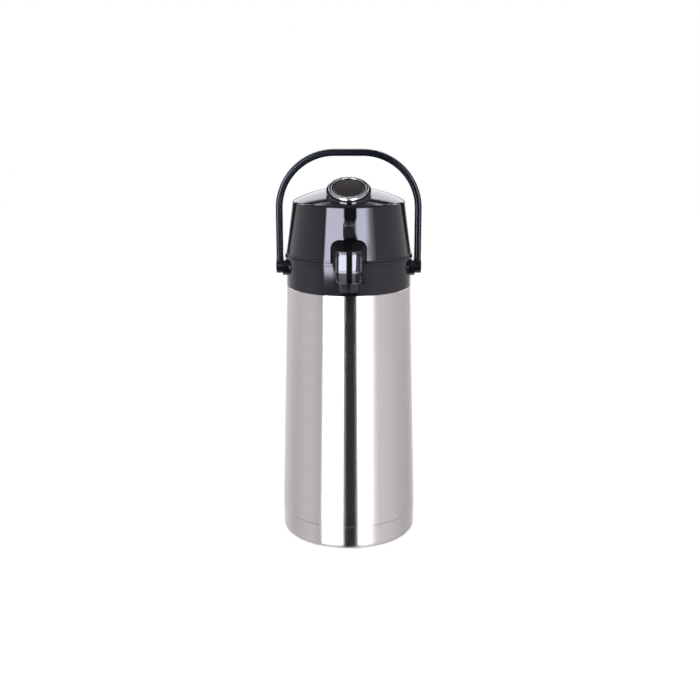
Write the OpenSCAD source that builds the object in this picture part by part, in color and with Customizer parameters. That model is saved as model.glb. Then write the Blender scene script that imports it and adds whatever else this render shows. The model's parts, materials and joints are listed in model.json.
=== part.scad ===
// Thermal coffee airpot: a vacuum flask in a tapered steel shell, with a pump
// lid hinged at the back, a spout at the front and a carrying bail.
// Millimetres, +Z up, front towards -Y, origin on the axis at the floor.

/* [Shell] */
// Outside diameter of the steel shell at its lower seam
shell_low_d = 151.4; // [148:0.2:158]
// How much narrower the steel shell is under the collar
shell_taper = 15; // [8:0.5:20]
// Height of the lower seam above the floor
seam_z = 28; // [24:1:36]
// Height of the steel shell above its seam
shell_h = 258; // [230:1:300]
// Thickness of the steel sheet
shell_wall = 1; // [0.6:0.1:1.2]
// Set-in of the base cup behind the shell's edge
cup_step = 0.5; // [0.2:0.1:0.8]
// Rounding of the base cup's bottom edge
cup_round = 6; // [3:0.5:8]
// Set-in of the rubber pad from the cup's rounded edge
pad_inset = 7.2; // [5:0.2:20]
// Thickness of the rubber pad
pad_t = 3; // [2:0.2:5]
// How far the pad stands below the base cup
pad_proud = 0.8; // [0.4:0.1:1.5]

/* [Flask] */
// Gap between the flask and the steel shell under the collar
flask_gap = 2.7; // [2:0.1:6]
// Thickness of each flask wall
flask_wall = 1; // [0.6:0.1:1.4]
// Vacuum gap between the two walls
vacuum_gap = 2.5; // [1.5:0.1:3.5]
// Width of the flask's shoulder, from its inner wall in to its mouth
shoulder_w = 25; // [22:0.5:28]
// Height of the flask's neck
neck_h = 10; // [8:0.5:14]
// Thickness of the rubber cushion under the flask
cushion_t = 10; // [6:0.5:16]
// Thickness of the gasket on the flask's mouth
neck_gasket_t = 2; // [1:0.2:3]

/* [Collar] */
// How far the collar stands out over the steel shell
collar_over = 0.2; // [0:0.1:0.6]
// Height of the collar
collar_h = 34; // [32:0.5:38]
// How far the lip at the split line stands out of the collar
lip_out = 1.4; // [0.8:0.1:2]
// Height of that lip
lip_h = 2.5; // [1.5:0.1:4]
// Thickness of the collar's walls and floor
collar_wall = 3; // [2:0.1:3.4]
// Width of the ledge in the throat that the flask's mouth meets
ledge_w = 6; // [5:0.2:8]
// Height of the throat's rim above the split line
throat_rise = 1; // [0.4:0.1:2]
// Number of screws that hold the collar
collar_screw_n = 4; // [3:1:6]
// Diameter of the collar screws
collar_screw_d = 3; // [2:0.1:4]

/* [Bail] */
// Height of the bail's pivot below the split line
pivot_drop = 13.5; // [11:0.1:15]
// Gap between the lip and the inside of the bail
bail_gap = 2; // [1.4:0.1:4]
// Thickness of the bail's strap
bail_t = 7.4; // [6:0.1:7.8]
// Depth of the bail's strap from front to back
bail_depth = 13; // [10:0.5:16]
// Radius of the bail's outer corners
bail_corner = 64; // [50:1:70]
// Height of the top of the bail above the split line
bail_rise = 113; // [108:1:124]
// Rounding of the strap's edges
bail_edge = 2.4; // [1:0.1:3]
// Diameter of the bail's eyes
eye_d = 17; // [15:0.5:18]
// Diameter of the pivot pins
pivot_d = 8; // [6:0.1:9]
// Diameter of the caps on the pivot pins
cap_d = 12; // [10.5:0.1:13]
// Length of the pads that the bail turns on
pivot_pad_l = 44; // [30:1:48]
// Height of those pads
pivot_pad_h = 17; // [15:0.5:20]

/* [Lid] */
// Set-in of the lid's wall behind the lip
lid_set_in = 1.3; // [0.8:0.1:2]
// How far the lid draws in from its rim to its top edge
lid_draw = 7.7; // [5:0.1:10]
// Height from the lid's rim to its top edge
lid_side_h = 57.2; // [54:0.2:62]
// Rise of the dome above the top edge
dome_h = 15; // [11:0.5:18]
// Rounding of the lid's top edge
lid_round = 3; // [1:0.2:5]
// Thickness of the lid's shell
lid_wall = 2.5; // [1.8:0.1:2.8]
// Gap between the collar and the lid's rim
split_gap = 0.5; // [0.3:0.1:1]
// Thickness of the plate that closes the lid below
base_plate_t = 3; // [2:0.2:4]
// Thickness of the gasket under the lid
lid_gasket_t = 3; // [2:0.2:4]
// Diameter of the hinge pin
hinge_d = 4; // [3:0.1:5]
// Diameter of the hinge's knuckles
knuckle_d = 9; // [8:0.1:10]
// Distance of the hinge pin behind the collar
hinge_out = 6.1; // [5.6:0.1:8]
// Width of the lid's knuckle
knuckle_w = 16; // [10:0.5:20]

/* [Pump] */
// Diameter of the push button
button_d = 47.5; // [42:0.5:50]
// Distance from the button's edge to the lid's top edge
button_edge = 5; // [4:0.5:9]
// Height of the middle of the bright ring above the top of the dome
button_rise = 2.5; // [0:0.1:6]
// Slope of the button's face
button_slope = 24; // [16:1:28]
// Travel of the button
stroke = 18; // [12:0.5:20]
// Height of the bellows when the button is pressed home
folded_h = 15.7; // [14:0.1:20]
// Set-in of the bright ring from the edge of the button
ring_inset = 2.25; // [1.5:0.05:4]
// Width of the bright ring
ring_w = 3.5; // [2:0.1:6]
// How far the ring stands above the button's face
ring_proud = 2.4; // [1.4:0.1:4]
// Diameter of the bellows
bellows_d = 70; // [60:1:72]
// Number of folds in the bellows
folds = 5; // [3:1:7]
// Diameter of the wire of the return spring
spring_wire = 1.8; // [1.2:0.1:2.4]
// Number of turns of the return spring
spring_turns = 5; // [4:1:7]

/* [Spout] */
// Width of the spout where it leaves the lid
spout_root_w = 37; // [35:0.5:38]
// Width of the spout at its front
spout_front_w = 26; // [23:0.5:30]
// How far the spout reaches out of the collar
spout_out = 39.6; // [34:0.2:44]
// Height of the spout's top over the split line, at the lid
spout_root_h = 23.7; // [22:0.1:25]
// Height of the spout's top over the split line, at the front
spout_front_h = 18.8; // [17:0.1:21]
// Radius that the front of the spout is bowed to
spout_bow_r = 26; // [22:1:60]
// Thickness of the spout's covers
spout_wall = 2.2; // [1.6:0.1:2.4]
// Height of the nozzle
nozzle_h = 9.5; // [8:0.5:14]
// Diameter of the nozzle where it leaves the spout
nozzle_top_d = 20.5; // [18.5:0.5:22]
// Diameter of the nozzle at its mouth
nozzle_low_d = 18; // [16:0.5:20]
// Outside diameter of the outlet pipe
pipe_d = 10; // [9:0.2:10.4]
// Bore of the outlet pipe
pipe_bore = 7; // [5:0.2:7.4]
// Outside diameter of the dip tube
dip_d = 11; // [9:0.5:11.5]
// Bore of the dip tube
dip_bore = 8; // [6:0.5:8.5]

/* [Latch] */
// Width of the latch's thumb pad
latch_w = 11; // [9:0.5:12]
// Height of the thumb pad
latch_h = 18; // [15:0.5:19]
// How far the thumb pad stands out of the lid
latch_proud = 3; // [2:0.1:4]
// Travel of the latch
latch_travel = 2.4; // [1.5:0.1:2.5]
// Number of ribs on the thumb pad
latch_ribs = 6; // [3:1:7]

/* [Hidden] */
$fn = 96;

// Small clearances
press_gap = 0.02;
run_gap = 0.05;
seat_gap = 0.1;
part_gap = 0.3;
slide_gap = 0.35;

// Radii, from the shell inwards and upwards
shell_low_r = shell_low_d / 2;
shell_top_r = shell_low_r - shell_taper / 2;
cup_r = shell_low_r - cup_step;
pad_r = cup_r - cup_round - pad_inset;
flask_r = shell_top_r - shell_wall - flask_gap;
flask_in_r = flask_r - flask_wall - vacuum_gap;
mouth_r = flask_in_r - flask_wall - shoulder_w;
neck_out_r = mouth_r + flask_wall + vacuum_gap + flask_wall;
throat_r = mouth_r + ledge_w;
throat_out_r = throat_r + collar_wall;
collar_r = shell_top_r + collar_over;
collar_in_r = collar_r - collar_wall;
lip_r = collar_r + lip_out;
lid_low_r = lip_r - lid_set_in;
lid_top_r = lid_low_r - lid_draw;
bail_in = lip_r + bail_gap;
bail_out = bail_in + bail_t;

// Heights of the stack, from the floor up
floor_top = pad_t + shell_wall;
flask_z = floor_top + cushion_t;
shell_top_z = seam_z + shell_h;
split_z = shell_top_z + collar_h;
lid_z = split_z + split_gap;
edge_z = lid_z + lid_side_h;
dome_z = edge_z + dome_h;
throat_top_z = split_z + throat_rise;
plate_z = throat_top_z + lid_gasket_t;
plate_top_z = plate_z + base_plate_t;
bail_top_z = split_z + bail_rise;
pivot_z = split_z - pivot_drop;
hinge_z = lid_z + 2.5;

// Long enough for a cut to go right through
through = bail_top_z;

// The lid's lean and the ball that its dome is part of
lid_lean = lid_draw / lid_side_h;
lean_angle = atan(lid_lean);
dome_r = (pow(lid_top_r, 2) + pow(dome_h, 2)) / (2 * dome_h);
function lid_r(z) = lid_low_r - lid_lean * (z - lid_z);

// Flask
cushion_r = flask_r - 14;
cushion_w = 16;
ledge_t = 3;
ledge_z = shell_top_z + 10;
ledge_top_z = ledge_z + ledge_t;
ledge_in_r = mouth_r + 0.6;
mouth_z = ledge_z - neck_gasket_t;
shoulder_z = mouth_z - neck_h - sqrt(pow(flask_in_r, 2) - pow(mouth_r, 2));
weld_z = shoulder_z - 4;

// Collar fixings
flange_w = 12.2;
flange_r = shell_top_r - flange_w;
ring_t = 5;
ring_out_r = flange_r + 9;
collar_screw_r = shell_top_r - 7.7;
collar_screw_l = 8;

// Tube head and outlet
pipe_r = pipe_d / 2;
tube_y = mouth_r - 13;
pipe_z = split_z - 6.5;
head_d = dip_d + 7;
head_top_z = pipe_z + pipe_r + 0.2;
head_low_z = ledge_z - 8;
seat_z = ledge_z + 4;
ball_d = dip_bore + 2;
ball_rest_z = seat_z + sqrt(pow(ball_d / 2, 2) - pow(dip_bore / 2, 2)) + 0.2;
chamber_d = ball_d + 2;
seal_t = 2;
pipe_back_y = sqrt(pow(throat_r, 2) - pow(pipe_r + 1, 2)) - 0.2;
down_r = pipe_r - 0.5;

// Spout
spout_reach = collar_r + spout_out;
spout_back_y = lid_r(split_z + spout_root_h) - lid_wall;
front_split_z = split_z - 3;
spout_bow = spout_bow_r - sqrt(pow(spout_bow_r, 2) - pow(spout_front_w / 2, 2));
spout_in_y = spout_reach - spout_bow - spout_wall;
under_back = 0.6;
elbow_over = 0.3;
nozzle_y = spout_in_y - under_back - 0.2 - elbow_over - down_r;
nozzle_z = split_z - 14;
pipe_seat = 5;
channel_w = 9;
face_w = spout_front_w - 6;
face_h = spout_front_h - 1.3;
face_seat = 1;
face_proud = 0.7;
front_plate_z = front_split_z + 2.2;

// Screws that hold the spout, through the collar's front wall
spout_screw_x = 11;
spout_screw_r = 1.5;
spout_screw_head_r = 3;
spout_screw_z = nozzle_z - 2.5;
spout_screw_y = sqrt(pow(collar_in_r, 2) - pow(spout_screw_x + spout_screw_head_r, 2)) - seat_gap;
spout_screw_l = 10;

// Pump
button_r = button_d / 2;
button_y = lid_top_r - button_r - button_edge;
flange_t = 3;
push_plate_t = 3;
push_low_z = plate_top_z + folded_h + stroke;
button_low_z = push_low_z + push_plate_t;
stop_z = button_low_z + flange_t;
bellows_y = button_y - 18;
bellows_r = bellows_d / 2;
face_z = dome_z + button_rise;
skirt_r = button_r + slide_gap;
ring_r = button_r - ring_inset;
badge_r = ring_r - ring_w;
front_limit_y = button_y + button_r + 0.1;

// Lid's plate, with its posts and screws
lid_plate_r = lid_r(plate_top_z) - lid_wall - part_gap;
lid_post_y = lid_plate_r - 10.8;
lid_post_r = 4;
lid_screw_d = 3;
lid_screw_l = 13;
valve_d = 5;

// Hinge
hinge_y = collar_r + hinge_out;
ear_w = 8;
ear_gap = 0.4;

// Bail
pad_face = bail_in - part_gap;
boss_r = pivot_d / 2 + 3;
boss_in = collar_in_r - 4;
cap_t = 2;
cap_x = bail_out - cap_t + 0.4;

// Latch, set square to the lid's sloping wall
latch_z = split_z + spout_root_h + 3 + latch_h / 2;
latch_leg_t = 1.8;
latch_leg_y = lid_r(latch_z - latch_h / 2) - lid_wall - part_gap;
latch_spring_l = latch_travel + 5;
spring_peg_y = latch_leg_y - latch_leg_t - latch_spring_l;
spring_peg_z = plate_top_z + 7;

// ---------------------------------------------------------------- helpers

// Points on an arc in a profile
function arc(cx, cz, r, a0, a1, n = 8) =
    [for (i = [0:n]) [cx + r * cos(a0 + (a1 - a0) * i / n), cz + r * sin(a0 + (a1 - a0) * i / n)]];

module ring(outer, inner, h) {
    difference() {
        cylinder(r = outer, h = h);
        translate([0, 0, -1]) cylinder(r = inner, h = h + 2);
    }
}

// A cylinder along X, Y forward or Y back, from the origin
module rod_x(r, l) { rotate([0, 90, 0]) cylinder(r = r, h = l); }
module rod_front(r, l) { rotate([90, 0, 0]) cylinder(r = r, h = l); }
module rod_back(r, l) { rotate([-90, 0, 0]) cylinder(r = r, h = l); }

// A block centred in X
module block(w, y0, y1, z0, z1) {
    translate([-w / 2, y0, z0]) cube([w, y1 - y0, z1 - z0]);
}

// A bottle: straight side, round shoulder and a neck
module bottle(r, low_z, neck_r, top_z) {
    low_edge = 8;
    neck_angle = acos(neck_r / r);
    rotate_extrude() polygon(concat(
        [[0, low_z], [r - low_edge, low_z]],
        arc(r - low_edge, low_z + low_edge, low_edge, -80, 0, 6),
        arc(0, shoulder_z, r, 0, neck_angle, 14),
        [[neck_r, top_z], [0, top_z]]
    ));
}

// Half of the lid's section, drawn in by the given amount. The rounding of the
// top edge has its centre r inside the sloping side and r inside the dome.
module lid_section(inset, low_z) {
    r = max(lid_round - inset, 0.3);
    ball_z = dome_z - dome_r;
    ball_r = dome_r - inset;
    side_x = lid_top_r - inset - r / cos(lean_angle);
    rise = edge_z - ball_z;
    a = 1 + pow(lid_lean, 2);
    b = rise - lid_lean * side_x;
    c = pow(side_x, 2) + pow(rise, 2) - pow(ball_r - r, 2);
    up = (sqrt(pow(b, 2) - a * c) - b) / a;
    cx = side_x - lid_lean * up;
    cz = edge_z + up;
    top_angle = atan2(cz - ball_z, cx);
    intersection() {
        polygon(concat(
            [[0, low_z], [lid_r(low_z) - inset, low_z]],
            arc(cx, cz, r, lean_angle, top_angle, 5),
            [[cx + r * cos(top_angle), dome_z + 5], [0, dome_z + 5]]
        ));
        translate([0, ball_z]) circle(r = ball_r);
    }
}

module lid_form(inset, low_z) { rotate_extrude() lid_section(inset, low_z); }

// The space under the button's sloping face, raised by the given amount
module under_slope(raise, r) {
    intersection() {
        cylinder(r = r, h = through);
        translate([0, 0, face_z + raise])
            rotate([button_slope, 0, 0])
                translate([-through / 2, -through / 2, -through]) cube(through);
    }
}

// A coil spring as one tube: closed end turns and open turns between
module coil(coil_r, wire, turns, h) {
    sides = 6;
    steps = 8 * turns;
    lead = h - wire;
    function climb(t) = wire / 2 + lead * (1 - cos(180 * t)) / 2;
    points = [
        for (i = [0:steps])
            let (t = i / steps, a = 360 * turns * t)
                for (k = [0:sides - 1])
                    let (b = 360 * k / sides, r = coil_r + wire / 2 * cos(b))
                        [r * cos(a), r * sin(a), climb(t) + wire / 2 * sin(b)]
    ];
    skin = [
        for (i = [0:steps - 1], k = [0:sides - 1])
            let (p = i * sides + k, q = i * sides + (k + 1) % sides)
                each [[p, p + sides, q], [q, p + sides, q + sides]]
    ];
    last = steps * sides;
    ends = [
        for (k = [1:sides - 2])
            each [[0, k, k + 1], [last, last + k + 1, last + k]]
    ];
    polyhedron(points = points, faces = concat(skin, ends));
}

// ---------------------------------------------------------------- body

module base_pad() {
    color("dimgray") difference() {
        cylinder(r = pad_r, h = pad_t);
        for (r = [pad_r - 8, pad_r - 16])
            translate([0, 0, -1]) ring(r, r - 1.5, 1.5);
    }
}

module base_cup() {
    recess_r = pad_r + part_gap;
    socket_r = shell_low_r - shell_wall - 0.4;
    color("silver") rotate_extrude() polygon(concat(
        [[0, pad_t], [recess_r, pad_t], [recess_r, pad_proud]],
        arc(cup_r - cup_round, pad_proud + cup_round, cup_round, -90, 0),
        [
            [cup_r, seam_z], [socket_r, seam_z], [socket_r, seam_z + 6],
            [socket_r - shell_wall, seam_z + 6], [socket_r - shell_wall, seam_z - 2],
            [cup_r - shell_wall, seam_z - 3]
        ],
        arc(cup_r - cup_round, pad_proud + cup_round, cup_round - shell_wall, 0, -90),
        [
            [recess_r + shell_wall, pad_proud + shell_wall],
            [recess_r + shell_wall, floor_top], [0, floor_top]
        ]
    ));
}

module bottom_cushion() {
    color("darkslategray") translate([0, 0, floor_top]) ring(cushion_r, cushion_r - cushion_w, cushion_t);
}

module body_shell() {
    color("lightgray") difference() {
        rotate_extrude() polygon([
            [shell_low_r - shell_wall, seam_z], [shell_low_r, seam_z], [shell_top_r, shell_top_z],
            [flange_r, shell_top_z], [flange_r, shell_top_z - shell_wall],
            [shell_top_r - shell_wall, shell_top_z - shell_wall]
        ]);
        collar_screw_places() translate([0, 0, -2]) cylinder(d = collar_screw_d + 0.6, h = 4);
    }
}

module flask_outer() {
    color("gainsboro") difference() {
        bottle(flask_r, flask_z, neck_out_r, mouth_z - flask_wall);
        bottle(flask_r - flask_wall, flask_z + flask_wall, neck_out_r - flask_wall, mouth_z);
    }
}

// The inner wall, with the flange that joins it to the outer one at the mouth
module inner_wall() {
    out_z = flask_z + flask_wall + vacuum_gap;
    difference() {
        union() {
            bottle(flask_in_r, out_z, mouth_r + flask_wall, mouth_z);
            translate([0, 0, mouth_z - flask_wall]) cylinder(r = neck_out_r, h = flask_wall);
        }
        bottle(flask_in_r - flask_wall, out_z + flask_wall, mouth_r, mouth_z + 1);
    }
}

// It is drawn as a cup and a neck, and welded round below the shoulder
module flask_inner() {
    color("silver") difference() {
        inner_wall();
        translate([0, 0, weld_z]) cylinder(r = flask_r, h = through);
    }
}

module flask_neck() {
    color("silver") difference() {
        inner_wall();
        cylinder(r = flask_r, h = weld_z);
    }
}

module neck_gasket() {
    color("darkgray") translate([0, 0, mouth_z]) ring(throat_r - 0.4, ledge_in_r, neck_gasket_t);
}

// ---------------------------------------------------------------- collar

module collar_screw_places() {
    for (i = [0:collar_screw_n - 1])
        rotate([0, 0, 45 + 360 / collar_screw_n * i])
            translate([collar_screw_r, 0, shell_top_z]) children();
}

module mounting_ring() {
    color("gray") difference() {
        translate([0, 0, shell_top_z - shell_wall - ring_t]) ring(ring_out_r, flange_r, ring_t);
        collar_screw_places() translate([0, 0, -2 * ring_t])
            cylinder(r = collar_screw_d / 2 + press_gap, h = 3 * ring_t);
    }
}

module collar_screws() {
    head_z = collar_wall + press_gap;
    color("silver") collar_screw_places() {
        translate([0, 0, head_z - collar_screw_l]) cylinder(d = collar_screw_d, h = collar_screw_l);
        difference() {
            translate([0, 0, head_z]) cylinder(d = 2 * collar_screw_d, h = 2);
            translate([0, 0, head_z + 1]) block(2 * collar_screw_d - 1, -0.5, 0.5, 0, 2);
            translate([0, 0, head_z + 1]) rotate([0, 0, 90]) block(2 * collar_screw_d - 1, -0.5, 0.5, 0, 2);
        }
    }
}

// A pad with round ends that each eye of the bail turns on
module pivot_pad() {
    end_r = pivot_pad_h / 2;
    rotate([90, 0, 90]) linear_extrude(pad_face) union() {
        square([pivot_pad_l - 2 * end_r, pivot_pad_h], center = true);
        for (s = [-1, 1]) translate([s * (pivot_pad_l / 2 - end_r), 0]) circle(r = end_r);
    }
}

module spout_screw_places() {
    for (s = [-1, 1]) translate([s * spout_screw_x, -spout_screw_y, spout_screw_z]) children();
}

module hinge_ears() {
    for (s = [-1, 1]) translate([s * ((knuckle_w + ear_w) / 2 + ear_gap), 0, 0]) {
        translate([-ear_w / 2, hinge_y, hinge_z]) rod_x(knuckle_d / 2, ear_w);
        rotate([90, 0, 90]) translate([0, 0, -ear_w / 2]) linear_extrude(ear_w) polygon([
            [collar_in_r + 0.5, split_z - 15], [collar_in_r + 0.5, split_z - 0.6],
            [hinge_y - knuckle_d / 2 + 0.6, split_z - 0.6], [hinge_y, hinge_z],
            [hinge_y + knuckle_d / 2 - 0.4, hinge_z - 1.6], [hinge_y + 1, split_z - 6]
        ]);
    }
}

module collar() {
    low_z = shell_top_z;
    color("#1c1c20") difference() {
        union() {
            rotate_extrude() polygon([
                [throat_r, low_z], [collar_r, low_z], [collar_r, split_z - lip_h - 0.8],
                [lip_r, split_z - lip_h], [lip_r, split_z], [collar_in_r, split_z],
                [collar_in_r, low_z + collar_wall], [throat_out_r, low_z + collar_wall],
                [throat_out_r, throat_top_z], [throat_r, throat_top_z],
                [throat_r, ledge_top_z], [ledge_in_r, ledge_top_z],
                [ledge_in_r, ledge_z], [throat_r, ledge_z]
            ]);
            for (s = [0, 180]) rotate([0, 0, s]) translate([0, 0, pivot_z]) difference() {
                union() {
                    pivot_pad();
                    rod_x(boss_r, collar_r);
                }
                translate([0, -pivot_pad_l / 2, -collar_h / 2]) cube([boss_in, pivot_pad_l, collar_h]);
                difference() {
                    translate([0, 0, -collar_h / 2]) cylinder(r = collar_in_r + 0.5, h = collar_h);
                    rod_x(boss_r, collar_r);
                }
            }
            difference() {
                hinge_ears();
                translate([0, 0, shell_top_z]) cylinder(r = collar_in_r + 0.5, h = collar_h + 1);
            }
        }
        for (s = [0, 180]) rotate([0, 0, s])
            translate([boss_in - 1, 0, pivot_z]) rod_x(pivot_d / 2 + run_gap, bail_out - boss_in);
        translate([-through / 2, hinge_y, hinge_z]) rod_x(hinge_d / 2 + run_gap, through);
        translate([0, -mouth_r, pipe_z]) rod_front(pipe_r + run_gap, lip_r - mouth_r + 1);
        collar_screw_places() translate([0, 0, -1]) cylinder(d = collar_screw_d + 0.4, h = collar_wall + 2);
        spout_screw_places() translate([0, 5, 0]) rod_front(spout_screw_r + seat_gap, 15);
    }
}

module hinge_pin() {
    l = knuckle_w + 2 * (ear_w + ear_gap) + 1;
    color("silver") translate([-l / 2, hinge_y, hinge_z]) {
        rod_x(hinge_d / 2, l);
        translate([-0.9, 0, 0]) rod_x(hinge_d / 2 + 0.8, 0.9);
    }
}

// ---------------------------------------------------------------- liquid path

module tube_head() {
    front_y = -pipe_back_y;
    foot_over = 5;
    foot_back = 6;
    foot_t = 2.5;
    color("whitesmoke") difference() {
        union() {
            translate([0, -tube_y, head_low_z]) cylinder(d = head_d, h = head_top_z - head_low_z);
            intersection() {
                translate([0, 0, ledge_top_z])
                    block(head_d + 2 * foot_over, -throat_r, -tube_y + foot_back, 0, foot_t);
                cylinder(r = throat_r - 0.4, h = through);
            }
            translate([0, -tube_y, pipe_z]) rod_front(pipe_r + 0.2, -front_y - tube_y);
            block(pipe_d - 2, front_y + 0.4, -tube_y, ledge_top_z, pipe_z);
        }
        translate([0, -tube_y, head_low_z - 1])
            cylinder(r = dip_d / 2 + run_gap, h = seat_z - head_low_z - 1);
        translate([0, -tube_y, head_low_z]) cylinder(d = dip_bore, h = seat_z - head_low_z + 1);
        translate([0, -tube_y, seat_z]) cylinder(d = chamber_d, h = head_top_z - seat_z - 1.5);
        translate([0, -tube_y, pipe_z]) rod_front(pipe_bore / 2, throat_r);
    }
}

module dip_tube() {
    low_z = flask_z + 12;
    top_z = seat_z - 2.1;
    color("ivory") difference() {
        translate([0, -tube_y, low_z]) ring(dip_d / 2, dip_bore / 2, top_z - low_z);
        translate([0, -tube_y - dip_d / 2, low_z]) rotate([35, 0, 0])
            block(3 * dip_d, -2 * dip_d, 3 * dip_d, -2 * dip_d, 0);
    }
}

module valve_ball() {
    color("silver") translate([0, -tube_y, ball_rest_z]) sphere(d = ball_d);
}

module outlet_seal() {
    color("darkgray") translate([0, -pipe_back_y, pipe_z]) rotate([90, 0, 0])
        ring(pipe_r - 0.1, pipe_bore / 2, seal_t);
}

module outlet_pipe() {
    back_y = pipe_back_y + seal_t;
    front_y = nozzle_y + down_r + elbow_over;
    down_z = nozzle_z - pipe_seat;
    color("gainsboro") difference() {
        union() {
            translate([0, -back_y, pipe_z]) rod_front(pipe_r, front_y - back_y);
            translate([0, -nozzle_y, down_z]) cylinder(r = down_r, h = pipe_z - down_z);
        }
        translate([0, -back_y + 1, pipe_z]) rod_front(pipe_bore / 2, nozzle_y - back_y + 2);
        translate([0, -nozzle_y, down_z - 1]) cylinder(d = pipe_bore - 0.4, h = pipe_z - down_z + 1);
    }
}

module nozzle() {
    mouth_h = 4;
    socket_h = pipe_seat + 0.2;
    color("#202024") difference() {
        translate([0, -nozzle_y, nozzle_z - nozzle_h])
            cylinder(d1 = nozzle_low_d, d2 = nozzle_top_d, h = nozzle_h);
        translate([0, -nozzle_y, nozzle_z - nozzle_h - 1]) cylinder(d = nozzle_low_d - 5, h = mouth_h + 1);
        translate([0, -nozzle_y, nozzle_z - nozzle_h]) cylinder(d = pipe_bore, h = nozzle_h + 1);
        translate([0, -nozzle_y, nozzle_z - socket_h]) cylinder(r = down_r + run_gap, h = 10);
    }
}

// ---------------------------------------------------------------- spout covers

// A thin upright slice of the spout: flat below, round at its upper corners
module slice(w, y, low_z, top_z, r) {
    translate([0, -y, 0]) rotate([90, 0, 0]) linear_extrude(0.1) hull() {
        translate([-w / 2, low_z]) square([w, 0.1]);
        for (s = [-1, 1]) translate([s * (w / 2 - r), top_z - r]) circle(r = r, $fn = 32);
    }
}

// Everything the collar and its lip take up under the spout
module collar_space() {
    cylinder(r = lip_r + 0.05, h = split_z + 0.02);
}

// The corners that the bow takes off the front of the spout
module bow_off() {
    low_z = nozzle_z - nozzle_h;
    difference() {
        block(spout_root_w, -spout_reach - 1, -spout_reach + spout_bow + 1, low_z, through);
        translate([0, -spout_reach + spout_bow_r, 0]) cylinder(r = spout_bow_r, h = through);
    }
}

// A bowed skin over the front of the spout, from one depth behind its face to one before it
module bow_skin(behind, before) {
    translate([0, -spout_reach + spout_bow_r, 0]) difference() {
        cylinder(r = spout_bow_r + before, h = through);
        cylinder(r = spout_bow_r - behind, h = through);
        translate([-through / 2, -spout_bow_r / 2, 0]) cube(through);
    }
}

module spout_slope(w, y0, y1, drop, lift) {
    run = spout_reach - spout_back_y;
    fall = atan((spout_root_h - spout_front_h) / run);
    translate([0, -spout_reach, split_z + spout_front_h]) rotate([fall, 0, 0])
        block(w, y0, y1, -drop, lift);
}

module spout_cover() {
    root_r = 9;
    front_r = 6;
    w = spout_wall;
    open_z = split_z - 12;
    pitch = 9;
    color("#202024") difference() {
        union() {
            difference() {
                hull() {
                    slice(spout_root_w, spout_back_y, split_z, split_z + spout_root_h, root_r);
                    slice(spout_front_w, spout_reach, front_split_z, split_z + spout_front_h, front_r);
                }
                translate([0, 0, -w]) hull() {
                    slice(spout_root_w - 2 * w, spout_back_y + w, open_z, split_z + spout_root_h, root_r - w);
                    slice(spout_front_w - 2 * w, spout_in_y, open_z, split_z + spout_front_h, front_r - w);
                }
                spout_slope(channel_w, 5, 40, 1.2, 5);
            }
            for (i = [0:3]) spout_slope(channel_w, 6.5 + pitch * i, 8.5 + pitch * i, 1.5, 0);
        }
        collar_space();
        bow_off();
        intersection() {
            bow_skin(face_seat, 1);
            block(face_w + 0.4, -spout_reach - 1, 0, front_plate_z - 0.2, front_plate_z + face_h + 0.2);
        }
        block(8, -spout_back_y - w - 1, -spout_back_y + 1, split_z + 9, split_z + 17);
    }
}

module spout_face() {
    r = 4;
    color("#2a2a30") intersection() {
        bow_skin(face_seat - seat_gap, face_proud);
        translate([0, -spout_reach + spout_bow_r, front_plate_z]) rotate([90, 0, 0])
            linear_extrude(2 * spout_bow_r) union() {
                translate([-face_w / 2, 0]) square([face_w, face_h - r]);
                translate([-face_w / 2 + r, 0]) square([face_w - 2 * r, face_h]);
                for (s = [-1, 1]) translate([s * (face_w / 2 - r), face_h - r]) circle(r = r);
            }
    }
}

module spout_under() {
    w = spout_wall;
    root_w = spout_root_w - 3.5;
    front_w = spout_front_w - 1;
    knee_run = 22;
    knee_y = spout_reach - knee_run;
    front_y = spout_reach - under_back;
    low_z = nozzle_z;
    function seam(y) = split_z - 3 * (y - spout_back_y) / (spout_reach - spout_back_y);
    module plain(w, y, z) {
        translate([-w / 2, -y, z]) cube([w, 0.1, seam(y) - z]);
    }
    color("#202024") difference() {
        union() {
            difference() {
                union() {
                    hull() {
                        plain(root_w, collar_r - 3, low_z - 8);
                        plain(root_w - 4, knee_y, low_z);
                    }
                    hull() {
                        plain(root_w - 4, knee_y, low_z);
                        plain(front_w, front_y, low_z);
                    }
                }
                hull() {
                    translate([0, 0, w]) plain(root_w - 2 * w, collar_r - 10, low_z - 8);
                    translate([0, 0, w]) plain(root_w - 4 - 2 * w, knee_y, low_z);
                }
                hull() {
                    translate([0, 0, w]) plain(root_w - 4 - 2 * w, knee_y - 0.1, low_z);
                    translate([0, 0, w]) plain(front_w - 2 * w, spout_in_y - under_back, low_z);
                }
            }
            spout_screw_places() rod_front(spout_screw_head_r, spout_screw_l + 2);
        }
        translate([0, under_back, 0]) bow_off();
        cylinder(r = collar_r + 0.05, h = through);
        difference() {
            collar_space();
            cylinder(r = collar_r, h = split_z - lip_h - 0.9);
        }
        translate([0, -nozzle_y, low_z - 1]) cylinder(r = down_r + run_gap, h = w + 2);
        spout_screw_places() rod_front(spout_screw_r + press_gap, spout_screw_l + 0.5);
    }
}

module spout_screws() {
    head_t = 2;
    color("silver") spout_screw_places() {
        rod_front(spout_screw_r, spout_screw_l);
        translate([0, head_t, 0]) rod_front(spout_screw_head_r, head_t);
    }
}

// ---------------------------------------------------------------- lid

module lid_post_places() {
    for (a = [38, 142, 218, 322]) rotate([0, 0, a]) translate([lid_post_y, 0, plate_top_z]) children();
}

module latch_frame() {
    translate([0, -lid_r(latch_z), latch_z]) rotate([-lean_angle, 0, 0]) children();
}

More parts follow.
